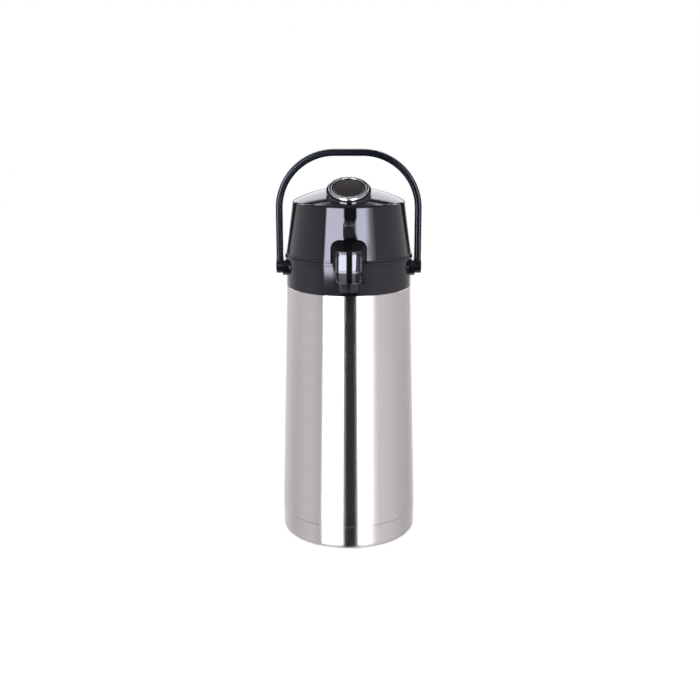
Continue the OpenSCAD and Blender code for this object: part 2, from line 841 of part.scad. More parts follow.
// The latch's outline: straight below, round at the top
module latch_outline(grow) {
    r = latch_w / 2 + grow;
    translate([0, latch_h / 2 - latch_w / 2]) circle(r = r);
    translate([-r, -latch_h / 2 - grow]) square([2 * r, latch_h - latch_w / 2 + grow]);
}

module lid_shell() {
    rim_r = lip_r - 0.3;
    arch_w = spout_root_w + 1;
    arch_r = 9.5;
    arch_top = split_z + spout_root_h + 0.6;
    arch_cut = 20;
    arm_low = lid_z + 0.3;
    color("#1c1c20") difference() {
        union() {
            rotate_extrude() difference() {
                union() {
                    lid_section(0, lid_z);
                    translate([0, lid_z]) square([rim_r, 2]);
                }
                lid_section(lid_wall, lid_z - 1);
            }
            intersection() {
                translate([0, -button_y, stop_z]) ring(skirt_r + 2, skirt_r, lid_side_h);
                lid_form(lid_wall / 2, lid_z);
            }
            intersection() {
                lid_post_places() cylinder(r = lid_post_r, h = through);
                lid_form(lid_wall / 2, lid_z);
            }
            difference() {
                union() {
                    translate([-knuckle_w / 2, hinge_y, hinge_z]) rod_x(knuckle_d / 2, knuckle_w);
                    block(knuckle_w, lid_low_r - 2, hinge_y, arm_low, hinge_z + knuckle_d / 2);
                }
                lid_form(lid_wall / 2, lid_z - 1);
            }
        }
        translate([0, -button_y, stop_z - 1]) cylinder(r = skirt_r, h = through);
        translate([-arch_w / 2, -lip_r - 2, lid_z - 1])
            cube([arch_w, arch_cut, arch_top - arch_r - lid_z + 1]);
        translate([-arch_w / 2 + arch_r, -lip_r - 2, lid_z - 1])
            cube([arch_w - 2 * arch_r, arch_cut, arch_top - lid_z + 1]);
        for (s = [-1, 1]) translate([s * (arch_w / 2 - arch_r), -lip_r - 2, arch_top - arch_r])
            rod_back(arch_r, arch_cut);
        latch_frame() translate([0, arch_cut / 2, 0]) rotate([90, 0, 0])
            linear_extrude(arch_cut) latch_outline(0.3);
        lid_post_places() translate([0, 0, -1]) cylinder(r = lid_screw_d / 2 + press_gap, h = lid_screw_l);
        translate([-through / 2, hinge_y, hinge_z]) rod_x(hinge_d / 2 + run_gap, through);
    }
}

module lid_base() {
    vent_r = 8;
    color("#2c2c30") difference() {
        union() {
            translate([0, 0, plate_z]) cylinder(r = lid_plate_r, h = base_plate_t);
            translate([0, -bellows_y, plate_z]) ring(bellows_r + 2, bellows_r + part_gap, base_plate_t + 3);
            block(10, -spring_peg_y, -spring_peg_y + 2, plate_z, spring_peg_z + 3);
        }
        block(spout_root_w + 2, -lip_r, -spout_back_y + 2.8, plate_z - 1, plate_top_z + lid_side_h / 2);
        translate([0, -bellows_y, plate_z - 1]) cylinder(d = valve_d + 2 * run_gap, h = 3 * base_plate_t);
        for (i = [0:5]) translate([0, -bellows_y, plate_z - 1]) rotate([0, 0, 60 * i])
            translate([vent_r, 0, 0]) cylinder(d = 4, h = 3 * base_plate_t);
        lid_post_places() translate([0, 0, -2 * base_plate_t])
            cylinder(r = lid_screw_d / 2 + 0.2, h = 3 * base_plate_t);
        translate([0, -spring_peg_y - 1, spring_peg_z]) rod_back(1, 10);
    }
}

module lid_gasket() {
    color("darkgray") translate([0, 0, throat_top_z]) ring(throat_out_r + 1, throat_r - 1, lid_gasket_t);
}

module lid_screws() {
    color("silver") lid_post_places() {
        translate([0, 0, -base_plate_t]) cylinder(d = lid_screw_d, h = lid_screw_l);
        translate([0, 0, -base_plate_t - 1.8]) cylinder(d = 2 * lid_screw_d, h = 1.8);
    }
}

module air_valve() {
    color("brown") translate([0, -bellows_y, 0]) {
        translate([0, 0, plate_z - 1.5]) cylinder(d = 23, h = 1.5);
        translate([0, 0, plate_z - 1]) cylinder(d = valve_d, h = base_plate_t + 3);
        translate([0, 0, plate_top_z]) cylinder(d1 = 8, d2 = 4, h = 4);
    }
}

module bellows() {
    h = push_low_z - plate_top_z;
    wall = 1.2;
    depth = 6;
    out_r = bellows_r;
    pitch = h / folds;
    function zig(r, i) = [r - (i % 2 == 0 ? 0 : depth), plate_top_z + i * pitch / 2];
    color("#4a4a4e") translate([0, -bellows_y, 0]) rotate_extrude() polygon(concat(
        [for (i = [0:2 * folds]) zig(out_r, i)],
        [for (i = [2 * folds:-1:0]) zig(out_r - 1.6 * wall, i)]
    ));
}

module return_spring() {
    h = push_low_z - plate_top_z;
    coil_r = bellows_r - 15;
    color("silver") translate([0, -bellows_y, plate_top_z]) coil(coil_r, spring_wire, spring_turns, h);
}

module push_plate() {
    color("#38383c") translate([0, 0, push_low_z]) difference() {
        union() {
            translate([0, -bellows_y, 0]) cylinder(r = bellows_r, h = push_plate_t);
            translate([0, -button_y, 0]) cylinder(r = button_r - 2, h = push_plate_t);
        }
        translate([0, -bellows_y, -1]) cylinder(r = 5, h = push_plate_t + 2);
    }
}

// ---------------------------------------------------------------- button

module button() {
    wall = 2.4;
    color("#1c1c20") translate([0, -button_y, 0]) difference() {
        union() {
            intersection() {
                under_slope(-ring_proud, button_r);
                translate([0, 0, button_low_z]) cylinder(r = button_d, h = through);
            }
            intersection() {
                translate([0, 0, button_low_z]) cylinder(r = skirt_r + 1.8, h = flange_t - 0.2);
                translate([-through / 2, button_y - front_limit_y, 0]) cube(through);
            }
        }
        intersection() {
            under_slope(-ring_proud - 3.5, button_r - wall);
            translate([0, 0, button_low_z - 1]) cylinder(r = button_d, h = through);
        }
    }
}

module button_ring() {
    color("#e8e8ec") translate([0, -button_y, 0]) difference() {
        under_slope(0, ring_r);
        under_slope(-ring_proud, button_d);
        under_slope(button_d, badge_r + seat_gap);
    }
}

module button_badge() {
    color("#2a2020") translate([0, -button_y, 0]) difference() {
        under_slope(-0.7, badge_r);
        under_slope(-ring_proud, button_d);
    }
}

// ---------------------------------------------------------------- latch

module latch() {
    t = 1;
    foot_z = split_z + 11;
    color("#26262a") difference() {
        union() {
            latch_frame() {
                translate([0, lid_wall + 0.4, 0]) rotate([90, 0, 0])
                    linear_extrude(lid_wall + 0.4 + latch_proud - 0.8) latch_outline(0);
                for (i = [0:latch_ribs - 1])
                    translate([0, -latch_proud, -latch_h / 2 + 1.5 + 1.7 * i])
                        block(latch_w - 1.6, 0, 1.5, 0, 0.9);
                translate([0, lid_wall + 0.4, 0]) rotate([-90, 0, 0])
                    linear_extrude(t) scale([1, -1]) latch_outline(1.2);
            }
            block(7, -latch_leg_y, -latch_leg_y + latch_leg_t, foot_z, latch_z);
            block(5, -spout_back_y + 0.3, -latch_leg_y + latch_leg_t, foot_z, foot_z + 4);
        }
        latch_frame() translate([0, lid_wall + 0.4 + t, 0]) block(40, 0, 20, -10, 30);
    }
}

module latch_spring() {
    color("silver") translate([0, -spring_peg_y, spring_peg_z]) rotate([90, 0, 0])
        coil(2.4, 0.6, 4, latch_spring_l);
}

// ---------------------------------------------------------------- bail

module bail_pins() {
    head_t = 1.7;
    start = boss_in - head_t - seat_gap;
    color("silver") for (s = [0, 180]) rotate([0, 0, s]) translate([start, 0, pivot_z]) {
        rod_x(pivot_d / 2, cap_x - start);
        rod_x(pivot_d / 2 + 1.6, head_t);
    }
}

module bail_caps() {
    color("#303438") for (s = [0, 180]) rotate([0, 0, s])
        translate([cap_x, 0, pivot_z]) rod_x(cap_d / 2, cap_t);
}

// The strap's section: a rectangle with rounded edges
module strap_section() {
    offset(r = bail_edge, $fn = 24)
        square([bail_t - 2 * bail_edge, bail_depth - 2 * bail_edge], center = true);
}

module bail() {
    mid = bail_out - bail_t / 2;
    bend_r = bail_corner - bail_t / 2;
    bend_z = bail_top_z - bail_corner;
    flat = bail_out - bail_corner;
    color("#22262c") difference() {
        union() {
            for (s = [-1, 1]) {
                translate([s * mid, 0, pivot_z]) linear_extrude(bend_z - pivot_z) strap_section();
                translate([s * mid - bail_t / 2, 0, pivot_z]) rod_x(eye_d / 2, bail_t);
            }
            for (s = [0, 180]) rotate([0, 0, s]) translate([flat, 0, bend_z]) rotate([90, 0, 0])
                rotate_extrude(angle = 90) translate([bend_r, 0]) strap_section();
            translate([-flat, 0, bail_top_z - bail_t / 2]) rotate([0, 90, 0])
                linear_extrude(2 * flat) strap_section();
        }
        for (s = [0, 180]) rotate([0, 0, s]) translate([0, 0, pivot_z]) {
            translate([bail_in - 1, 0, 0]) rod_x(pivot_d / 2 + run_gap, bail_t + 2);
            translate([cap_x - seat_gap, 0, 0]) rod_x(cap_d / 2 + 0.2, 2 * cap_t);
        }
    }
}

base_pad();
base_cup();
bottom_cushion();
body_shell();
flask_outer();
flask_inner();
flask_neck();
neck_gasket();
mounting_ring();
collar();
collar_screws();
hinge_pin();
tube_head();
dip_tube();
outlet_seal();
outlet_pipe();
spout_under();
spout_cover();
spout_face();
spout_screws();
nozzle();
valve_ball();
lid_shell();
lid_base();
lid_gasket();
lid_screws();
air_valve();
bellows();
return_spring();
push_plate();
button();
button_ring();
button_badge();
latch();
latch_spring();
bail_pins();
bail_caps();
bail();
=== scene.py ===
import json
import math
import bpy
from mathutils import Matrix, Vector

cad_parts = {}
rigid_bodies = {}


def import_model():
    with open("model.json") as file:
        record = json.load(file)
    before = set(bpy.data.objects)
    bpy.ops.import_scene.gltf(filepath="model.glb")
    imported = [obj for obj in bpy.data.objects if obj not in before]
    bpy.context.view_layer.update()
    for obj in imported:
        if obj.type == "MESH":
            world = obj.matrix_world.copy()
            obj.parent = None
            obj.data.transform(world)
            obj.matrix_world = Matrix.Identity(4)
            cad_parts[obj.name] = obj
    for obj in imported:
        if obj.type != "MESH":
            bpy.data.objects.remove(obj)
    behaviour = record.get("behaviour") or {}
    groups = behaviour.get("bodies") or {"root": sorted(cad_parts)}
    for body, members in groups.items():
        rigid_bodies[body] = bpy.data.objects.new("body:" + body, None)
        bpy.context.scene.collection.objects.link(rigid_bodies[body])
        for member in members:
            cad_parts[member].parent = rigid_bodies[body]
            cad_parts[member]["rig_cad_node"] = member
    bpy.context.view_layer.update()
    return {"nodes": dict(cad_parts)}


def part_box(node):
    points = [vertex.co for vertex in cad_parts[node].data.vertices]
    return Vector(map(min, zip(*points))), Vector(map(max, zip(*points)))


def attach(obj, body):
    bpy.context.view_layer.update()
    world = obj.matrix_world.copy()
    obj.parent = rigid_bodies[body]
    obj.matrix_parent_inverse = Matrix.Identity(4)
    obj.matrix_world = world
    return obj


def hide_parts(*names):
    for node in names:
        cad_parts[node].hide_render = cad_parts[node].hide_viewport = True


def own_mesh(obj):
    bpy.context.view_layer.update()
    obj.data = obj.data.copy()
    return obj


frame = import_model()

nodes = frame["nodes"]
mm = 0.001


# ---------------------------------------------------------------- the studio
# The airpot stands on a white table in a white room. The camera is a little over a
# metre away, just above the height of the bail, and looks slightly down on it.
camera_place = (1.4 * mm, -1178 * mm, 516 * mm)
camera_pitch = math.radians(14.57)
camera_lens, camera_sensor = 55.64, 36
bpy.ops.object.camera_add(location=camera_place, rotation=(math.pi / 2 - camera_pitch, 0, 0))
camera = bpy.context.object
camera.data.sensor_width = camera_sensor
camera.data.lens = camera_lens
bpy.context.scene.camera = camera
bpy.context.scene.view_settings.view_transform = "Standard"


def add_node(tree, kind, inputs=None, **settings):
    """A shader node with its settings, its sockets given by name or number, as a value or a link"""
    made = tree.nodes.new(kind)
    for name, value in settings.items():
        setattr(made, name, value)
    for name, value in (inputs or {}).items():
        if isinstance(value, bpy.types.NodeSocket):
            tree.links.new(value, made.inputs[name])
        else:
            made.inputs[name].default_value = value
    return made


def combine(tree, operation, first, second):
    """Two values put together by a math node"""
    return add_node(tree, "ShaderNodeMath", {0: first, 1: second}, operation=operation).outputs[0]


def spread(tree, value, low, high, low_in=0.3, high_in=0.7):
    """Spreads a value between two others"""
    return add_node(tree, "ShaderNodeMapRange", {
        "Value": value, "From Min": low_in, "From Max": high_in, "To Min": low, "To Max": high,
    }).outputs[0]


def ramp(tree, value, stops):
    """A colour ramp with its stops, each a place and a grey level or a colour"""
    made = add_node(tree, "ShaderNodeValToRGB", {0: value})
    for place, _ in stops[2:]:
        made.color_ramp.elements.new(place)
    for element, (place, shade) in zip(made.color_ramp.elements, sorted(stops)):
        element.position = place
        element.color = (*(shade if isinstance(shade, tuple) else (shade,) * 3), 1)
    return made.outputs[0]


def all_round(stops):
    """Turns stops in degrees from the middle of the front into places on a ramp"""
    return [(0.5 + degrees / 360, shade) for degrees, shade in stops]


# The room that the metal and the polished plastic mirror: two tall softboxes in front with
# a dark gap between them for the lens, pale walls all round, a dark ceiling in front and a
# wide overhead softbox behind it. Below the softboxes only the walls go on.
softbox_light = 13.5
ceiling_light = 8.0
room_light = 0.62
low_walls = all_round([
    (-180, 0.9), (-165, 1.1), (-148, 0.86), (-128, 0.72), (-113, 0.63), (-101, 0.71),
    (-86, 0.82), (-69, 0.88), (-56, 0.74), (-46, 0.62), (-12, 0.5), (-9, 0.02), (14.5, 0.02),
    (17.5, 0.5), (42, 1.0), (68, 0.97), (95, 0.79), (106, 0.70), (118, 0.59), (135, 0.54),
    (150, 0.78), (165, 1.1), (180, 0.9),
])
high_walls = all_round([
    (-180, 0.9), (-168, 0.25), (-142, 0.08), (-134, 0.95), (-117, 0.9), (-80, 0.85),
    (-56, 0.7), (-47, 0.5), (-12, 0.4), (-9, 0.02), (14.5, 0.02), (17.5, 0.5), (45, 0.95),
    (80, 0.85), (115, 0.8), (134, 0.9), (142, 0.08), (168, 0.25), (180, 0.9),
])
softboxes = all_round([
    (-46.5, 0.0), (-43.5, 1.0), (-11, 1.0), (-9, 0.0), (15, 0.0), (17, 1.0), (32, 1.0),
    (43, 0.22), (52, 0.0),
])
box_feet = all_round([(-180, 0.0), (27, 0.0), (36, 0.35), (46, 0.9), (180, 0.9)])
ceiling = [
    (0.10, 0.05), (0.715, 0.03), (0.74, 0.74), (0.77, 0.58), (0.82, 0.42), (0.90, 0.29),
    (1.0, 0.34),
]
wall_change = (-0.14, -0.06)
foot_lift, foot_edge, top_edge = 0.18, (-0.187, -0.182), (0.30, 0.36)
ceiling_edge, ceiling_ahead, ceiling_blend = (0.06, 0.34), (-0.75, -0.45), (0, 0.14)
world = bpy.data.worlds.new("studio_room")
bpy.context.scene.world = world
world.use_nodes = True
room = world.node_tree
room.nodes.clear()
direction = add_node(room, "ShaderNodeTexCoord").outputs["Generated"]
looking = add_node(room, "ShaderNodeSeparateXYZ", {0: direction})
upward = looking.outputs["Z"]
ahead = combine(room, "MULTIPLY", looking.outputs["Y"], -1)
around = combine(room, "ARCTAN2", looking.outputs["X"], ahead)
bearing = spread(room, around, 0, 1, -math.pi, math.pi)
over = spread(room, combine(room, "ARCTAN2", upward, ahead), 0, 1, 0, math.pi)
low_to_high = spread(room, upward, 0, 1, *wall_change)
wall = add_node(room, "ShaderNodeMix", {
    "Factor": low_to_high, 2: ramp(room, bearing, low_walls), 3: ramp(room, bearing, high_walls),
}).outputs[0]
foot_rise = combine(room, "MULTIPLY", ramp(room, bearing, box_feet), foot_lift)
box_foot = spread(room, combine(room, "SUBTRACT", upward, foot_rise), 0, 1, *foot_edge)
box_top = spread(room, upward, 1, 0, *top_edge)
box_height = combine(room, "MULTIPLY", box_foot, box_top)
box = combine(room, "MULTIPLY", ramp(room, bearing, softboxes), box_height)
ceiling_start = spread(room, ahead, *ceiling_edge, *ceiling_ahead)
above_start = combine(room, "SUBTRACT", upward, ceiling_start)
to_ceiling = spread(room, above_start, 0, 1, *ceiling_blend)
above = combine(room, "MULTIPLY", ramp(room, over, ceiling), ceiling_light)
mirrored = add_node(room, "ShaderNodeMix", {"Factor": to_ceiling, 2: wall, 3: 0.0}).outputs[0]
rays = add_node(room, "ShaderNodeLightPath").outputs
glossy = combine(room, "MAXIMUM", rays["Is Glossy Ray"], rays["Is Transmission Ray"])
plain = add_node(room, "ShaderNodeMix", {"Factor": rays["Is Camera Ray"], 2: room_light, 3: 1.0})
seen = add_node(room, "ShaderNodeMix", {"Factor": glossy, 2: plain.outputs[0], 3: mirrored})
glow = combine(room, "MULTIPLY", combine(room, "MULTIPLY", box, softbox_light), glossy)
overhead = combine(room, "MULTIPLY", combine(room, "MULTIPLY", above, to_ceiling), glossy)
lights = [
    add_node(room, "ShaderNodeBackground", {"Color": (*color, 1), "Strength": strength}).outputs[0]
    for color, strength in (
        ((1, 1, 1), seen.outputs[0]), ((0.92, 0.99, 1), glow), ((0.95, 0.93, 1), overhead),
    )
]
both = add_node(room, "ShaderNodeAddShader", {0: lights[0], 1: lights[1]})
every = add_node(room, "ShaderNodeAddShader", {0: both.outputs[0], 1: lights[2]})
add_node(room, "ShaderNodeOutputWorld", {"Surface": every.outputs[0]})

# The table top is a white sheet that keeps the airpot's shadow. Mirrors look through it,
# so that the walls run down to the foot of the steel.
sheet_size, sheet_white, sheet_lift = 6, (0.9, 0.9, 0.9), 0.45
bpy.ops.object.select_all(action="DESELECT")
bpy.ops.mesh.primitive_plane_add(size=sheet_size, location=(0, 0, 0))
table_top = bpy.context.object
table_top.name = "table_top"
sheet = bpy.data.materials.new("white_sheet")
sheet.use_nodes = True
tree = sheet.node_tree
tree.nodes.clear()
rays = add_node(tree, "ShaderNodeLightPath").outputs
paper = add_node(tree, "ShaderNodeBsdfDiffuse", {"Color": (*sheet_white, 1)})
lift = combine(tree, "MULTIPLY", rays["Is Camera Ray"], sheet_lift)
shine = add_node(tree, "ShaderNodeEmission", {"Color": (1, 1, 1, 1), "Strength": lift})
white = add_node(tree, "ShaderNodeAddShader", {0: paper.outputs[0], 1: shine.outputs[0]})
clear = add_node(tree, "ShaderNodeBsdfTransparent")
through = combine(tree, "MAXIMUM", rays["Is Glossy Ray"], rays["Is Transmission Ray"])
either = add_node(tree, "ShaderNodeMixShader", {
    0: through, 1: white.outputs[0], 2: clear.outputs[0],
})
add_node(tree, "ShaderNodeOutputMaterial", {"Surface": either.outputs[0]})
table_top.data.materials.append(sheet)

# Two plain lamps: a wide one overhead and a softer one from the front left
for name, place, target, size, power in (
    ("lamp_over", (-0.15, -0.35, 1.5), (0, 0, 0.15), 1.4, 3),
    ("lamp_front", (-0.8, -1.7, 1.0), (0, 0, 0.2), 1.4, 4),
):
    bpy.ops.object.light_add(type="AREA", location=place)
    lamp = bpy.context.object
    lamp.name = name
    lamp.data.shape = "SQUARE"
    lamp.data.size = size
    lamp.data.energy = power
    lamp.rotation_euler = (Vector(target) - Vector(place)).to_track_quat("-Z", "Y").to_euler()
    lamp.visible_glossy = False


# ---------------------------------------------------------------- the steel body
# The outer shell is one sheet of stainless steel, rolled to a slight taper and brushed round
# and round. Its lower edge is hemmed, and its top is turned in under the collar.
shell_low, shell_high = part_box("body_shell")
seam_r = shell_high.x
shell_taper = 7.5 * mm
shell_flange = 12.2 * mm
shell_sheet = 1 * mm
shell_bend = 1.5 * mm
hem_r = shell_sheet / 2
hem_height = 8 * mm


def new_material(name, color, metallic, roughness):
    """A material with its principled shader, and its object coordinates"""
    made = bpy.data.materials.new(name)
    made.use_nodes = True
    tree = made.node_tree
    shader = tree.nodes["Principled BSDF"]
    shader.inputs["Base Color"].default_value = (*color, 1)
    shader.inputs["Metallic"].default_value = metallic
    shader.inputs["Roughness"].default_value = roughness
    place = tree.nodes.new("ShaderNodeTexCoord").outputs["Object"]
    return made, tree, shader, place


def noise(tree, place, scale, detail=2.0):
    """A noise with its own scale along X, Y and Z, in waves per metre"""
    stretched = add_node(tree, "ShaderNodeMapping", {"Vector": place, "Scale": scale})
    return add_node(tree, "ShaderNodeTexNoise", {
        "Vector": stretched.outputs[0], "Scale": 1.0, "Detail": detail, "Roughness": 0.5,
    }).outputs[0]


def bump(tree, shader, value, depth, strength=0.5):
    """Raises the surface by a noise, to a depth in metres"""
    raised = add_node(tree, "ShaderNodeBump", {
        "Height": value, "Strength": strength, "Distance": depth,
    })
    tree.links.new(raised.outputs[0], shader.inputs["Normal"])


def only(piece):
    """Selects one object and nothing else"""
    bpy.ops.object.select_all(action="DESELECT")
    piece.select_set(True)
    bpy.context.view_layer.objects.active = piece


def arc(centre, radius, start, end, steps):
    """Points on an arc of a profile, as a distance from the axis and a height"""
    turns = [math.radians(start + (end - start) * step / steps) for step in range(steps + 1)]
    return [(centre[0] + radius * math.cos(turn), centre[1] + radius * math.sin(turn))
            for turn in turns]


def level(piece):
    """Lets the large faces of a piece set its smooth shading, so that its flats stay flat"""
    flats = piece.modifiers.new("flats", "WEIGHTED_NORMAL")
    flats.keep_sharp = True
    flats.weight = 80
    bpy.ops.object.modifier_apply(modifier=flats.name)


def turned(name, profile, sides=180, closed=False):
    """A piece turned round the upright axis. Its profile is drawn out of a circle, ring by
    ring, and a point on the axis closes it. A closed profile comes back to its first ring."""
    least_r, same_place = 1e-6, 0.004 * mm
    bpy.ops.object.select_all(action="DESELECT")
    bpy.ops.mesh.primitive_circle_add(vertices=sides, radius=profile[0][0], location=(0, 0, 0))
    piece = bpy.context.object
    piece.name = name
    bpy.ops.object.mode_set(mode="EDIT")
    bpy.ops.mesh.select_all(action="SELECT")
    bpy.ops.transform.translate(value=(0, 0, profile[0][1]))
    radius, height = profile[0]
    for next_radius, next_height in profile[1:] + ([profile[0]] if closed else []):
        rise = (0, 0, next_height - height)
        bpy.ops.mesh.extrude_edges_move(TRANSFORM_OT_translate={"value": rise})
        size = max(next_radius, least_r) / radius
        bpy.ops.transform.resize(value=(size, size, 1))
        radius, height = max(next_radius, least_r), next_height
    bpy.ops.mesh.select_all(action="SELECT")
    bpy.ops.mesh.remove_doubles(threshold=same_place)
    bpy.ops.mesh.normals_make_consistent(inside=False)
    bpy.ops.object.mode_set(mode="OBJECT")
    bpy.ops.object.shade_smooth_by_angle(angle=math.radians(35))
    level(piece)
    return piece


def hand_in(piece, material, body, slot, *replaced):
    """Gives a finished piece its material and body, and hides the CAD pieces it stands for. The slot
    argument is not used.
    """
    piece.data.materials.clear()
    piece.data.materials.append(material)
    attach(piece, body)
    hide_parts(*replaced)


steel_brushed, tree, shader, place = new_material("steel_brushed", (0.6, 0.58, 0.58), 1, 0.24)
lines = noise(tree, place, (5, 5, 5200))
strokes = noise(tree, place, (14, 14, 1900))
patches = noise(tree, place, (9, 9, 5))
brushing = combine(tree, "MULTIPLY", combine(tree, "ADD", lines, strokes), 0.5)
steel_shades = [(0.35, (0.59, 0.547, 0.552)), (0.65, (0.645, 0.598, 0.603))]
tree.links.new(ramp(tree, brushing, steel_shades), shader.inputs["Base Color"])
brushed, worn = spread(tree, brushing, 0.225, 0.255), spread(tree, patches, -0.006, 0.01)
tree.links.new(combine(tree, "ADD", brushed, worn), shader.inputs["Roughness"])
shader.inputs["Anisotropic"].default_value = 1.0
shader.inputs["Anisotropic Rotation"].default_value = 0.25
round_the_axis = add_node(tree, "ShaderNodeTangent", direction_type="RADIAL", axis="Z")
tree.links.new(round_the_axis.outputs[0], shader.inputs["Tangent"])
bump(tree, shader, brushing, 0.004 * mm, 0.3)

shell_top_r = seam_r - shell_taper
body_shell = turned("steel_shell", [
    (seam_r - shell_sheet, shell_low.z + hem_height),
    *arc((seam_r - hem_r, shell_low.z + hem_r), hem_r, -180, 0, 8),
    *arc((shell_top_r - shell_bend, shell_high.z - shell_bend), shell_bend, 0, 90, 6),
    (shell_top_r - shell_flange, shell_high.z),
    (shell_top_r - shell_flange, shell_high.z - shell_sheet),
    (shell_top_r - shell_sheet, shell_high.z - shell_sheet),
], sides=240, closed=True)
hand_in(body_shell, steel_brushed, "body", "steel_brushed", "body_shell")


# ---------------------------------------------------------------- the base
# The base cup is drawn from the same steel and pushed into the shell. It is rounded at the
# foot, and its floor is set up to hold a moulded rubber pad with two grip rings.
cup_low, cup_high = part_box("base_cup")
pad_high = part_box("base_pad")[1]
cup_r = cup_high.x
cup_round = 6 * mm
cup_edge_r = 0.4 * mm
cup_edge_in = 1.2 * mm
cup_seam_z = shell_low.z - 0.35 * mm
socket_in, socket_height = 4 * mm, 5 * mm
recess_r = pad_high.x + 0.3 * mm
recess_edge_r = 0.8 * mm
base_cup = turned("steel_base", [
    (cup_r - socket_in, cup_seam_z + socket_height),
    (cup_r - cup_edge_in, cup_seam_z),
    *arc((cup_r - cup_edge_r, cup_seam_z - cup_edge_r), cup_edge_r, 90, 0, 4),
    *arc((cup_r - cup_round, cup_low.z + cup_round), cup_round, 0, -90, 14),
    *arc((recess_r + recess_edge_r, cup_low.z + recess_edge_r), recess_edge_r, -90, -180, 4),
    (recess_r, pad_high.z), (0, pad_high.z),
], sides=240)
hand_in(base_cup, steel_brushed, "body", "steel_brushed", "base_cup")


def moulded(name, dark, light, smooth, rough, grain_size, grain_depth):
    """Moulded plastic or rubber: its shade and dullness vary slightly, under a fine grain"""
    made, tree, shader, place = new_material(name, dark, 0, smooth)
    patches = noise(tree, place, (35, 35, 35), 3)
    wave = 1 / grain_size
    grain = noise(tree, place, (wave, wave, wave))
    tree.links.new(ramp(tree, patches, [(0.3, dark), (0.7, light)]), shader.inputs["Base Color"])
    tree.links.new(spread(tree, patches, smooth, rough), shader.inputs["Roughness"])
    bump(tree, shader, grain, grain_depth)
    return made


def dress(material, *names):
    """Gives carried-over parts their material"""
    for name in names:
        for slot in nodes[name].material_slots:
            slot.material = material


rubber = moulded("rubber", dark=(0.018, 0.018, 0.018), light=(0.03, 0.03, 0.03),
                 smooth=0.6, rough=0.8, grain_size=0.6 * mm, grain_depth=0.06 * mm)
dress(rubber, "base_pad", "bottom_cushion")


# ---------------------------------------------------------------- the flask and the liquid path
# Inside stand the double-walled steel flask, its seals, the collar's mounting ring, and the
# moulded tubes that the coffee rises through. The screws and pins are plain steel.
steel_plain, tree, shader, place = new_material("steel_plain", (0.6, 0.6, 0.6), 1, 0.25)
grain = noise(tree, place, (900, 900, 900), 3)
patches = noise(tree, place, (60, 60, 60))
plain_shades = [(0.3, (0.54, 0.54, 0.54)), (0.7, (0.64, 0.64, 0.645))]
tree.links.new(ramp(tree, patches, plain_shades), shader.inputs["Base Color"])
tree.links.new(spread(tree, grain, 0.2, 0.36), shader.inputs["Roughness"])
bump(tree, shader, grain, 0.02 * mm, 0.3)
silicone = moulded("silicone", dark=(0.42, 0.42, 0.40), light=(0.5, 0.5, 0.48),
                   smooth=0.4, rough=0.55, grain_size=0.8 * mm, grain_depth=0.03 * mm)
plastic_white = moulded("plastic_white", dark=(0.68, 0.68, 0.64), light=(0.76, 0.76, 0.73),
                        smooth=0.35, rough=0.5, grain_size=0.8 * mm, grain_depth=0.02 * mm)
dress(steel_plain, "flask_outer", "flask_inner", "flask_neck", "mounting_ring", "collar_screws",
      "hinge_pin", "spout_screws", "valve_ball", "lid_screws", "bail_pins")
dress(silicone, "neck_gasket", "outlet_seal", "lid_gasket", "air_valve")
dress(plastic_white, "tube_head", "dip_tube", "outlet_pipe")


# ---------------------------------------------------------------- the collar
# The collar is a polished black moulding that is screwed to the steel from inside. The mould
# leaves small rounds on all its edges, on the lip, the pads for the bail and the hinge ears.
def merged_copy(name, node):
    """A copy of a carried-over part with its loose facets merged into one skin"""
    only(nodes[node])
    bpy.ops.object.duplicate()
    piece = bpy.context.object
    piece.name = name
    del piece["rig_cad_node"]
    bpy.ops.object.mode_set(mode="EDIT")
    bpy.ops.mesh.select_all(action="SELECT")
    bpy.ops.mesh.customdata_custom_splitnormals_clear()
    bpy.ops.mesh.remove_doubles(threshold=0.002 * mm)
    bpy.ops.object.mode_set(mode="OBJECT")
    return piece


def eased(name, node, width, segments=2):
    """A copy of a carried-over part with its flat facets joined and its edges rounded"""
    piece = merged_copy(name, node)
    bpy.ops.object.mode_set(mode="EDIT")
    bpy.ops.mesh.select_all(action="SELECT")
    bpy.ops.mesh.dissolve_limited(angle_limit=math.radians(0.3))
    bpy.ops.object.mode_set(mode="OBJECT")
    rounding = piece.modifiers.new("rounding", "BEVEL")
    rounding.width = width
    rounding.segments = segments
    rounding.limit_method = "ANGLE"
    rounding.angle_limit = math.radians(30)
    rounding.use_clamp_overlap = True
    bpy.ops.object.modifier_apply(modifier=rounding.name)
    bpy.ops.object.shade_smooth_by_angle(angle=math.radians(40))
    level(piece)
    return piece


def reflect(material, tint, strength=0.5):
    """Sets how a plastic reflects: the tint of its reflections and how strong they are"""
    shader = material.node_tree.nodes["Principled BSDF"]
    shader.inputs["Specular Tint"].default_value = (*tint, 1)
    shader.inputs["Specular IOR Level"].default_value = strength


gloss_dark, gloss_light = (0.0075, 0.0068, 0.0085), (0.0105, 0.0095, 0.012)
gloss_tint = (0.88, 0.83, 1)
plastic_gloss = moulded("plastic_gloss", gloss_dark, gloss_light, smooth=0.02, rough=0.05,
                        grain_size=2.5 * mm, grain_depth=0.002 * mm)
reflect(plastic_gloss, gloss_tint)
collar = eased("black_collar", "collar", 0.35 * mm)
hand_in(collar, plastic_gloss, "body", "plastic_gloss", "collar")


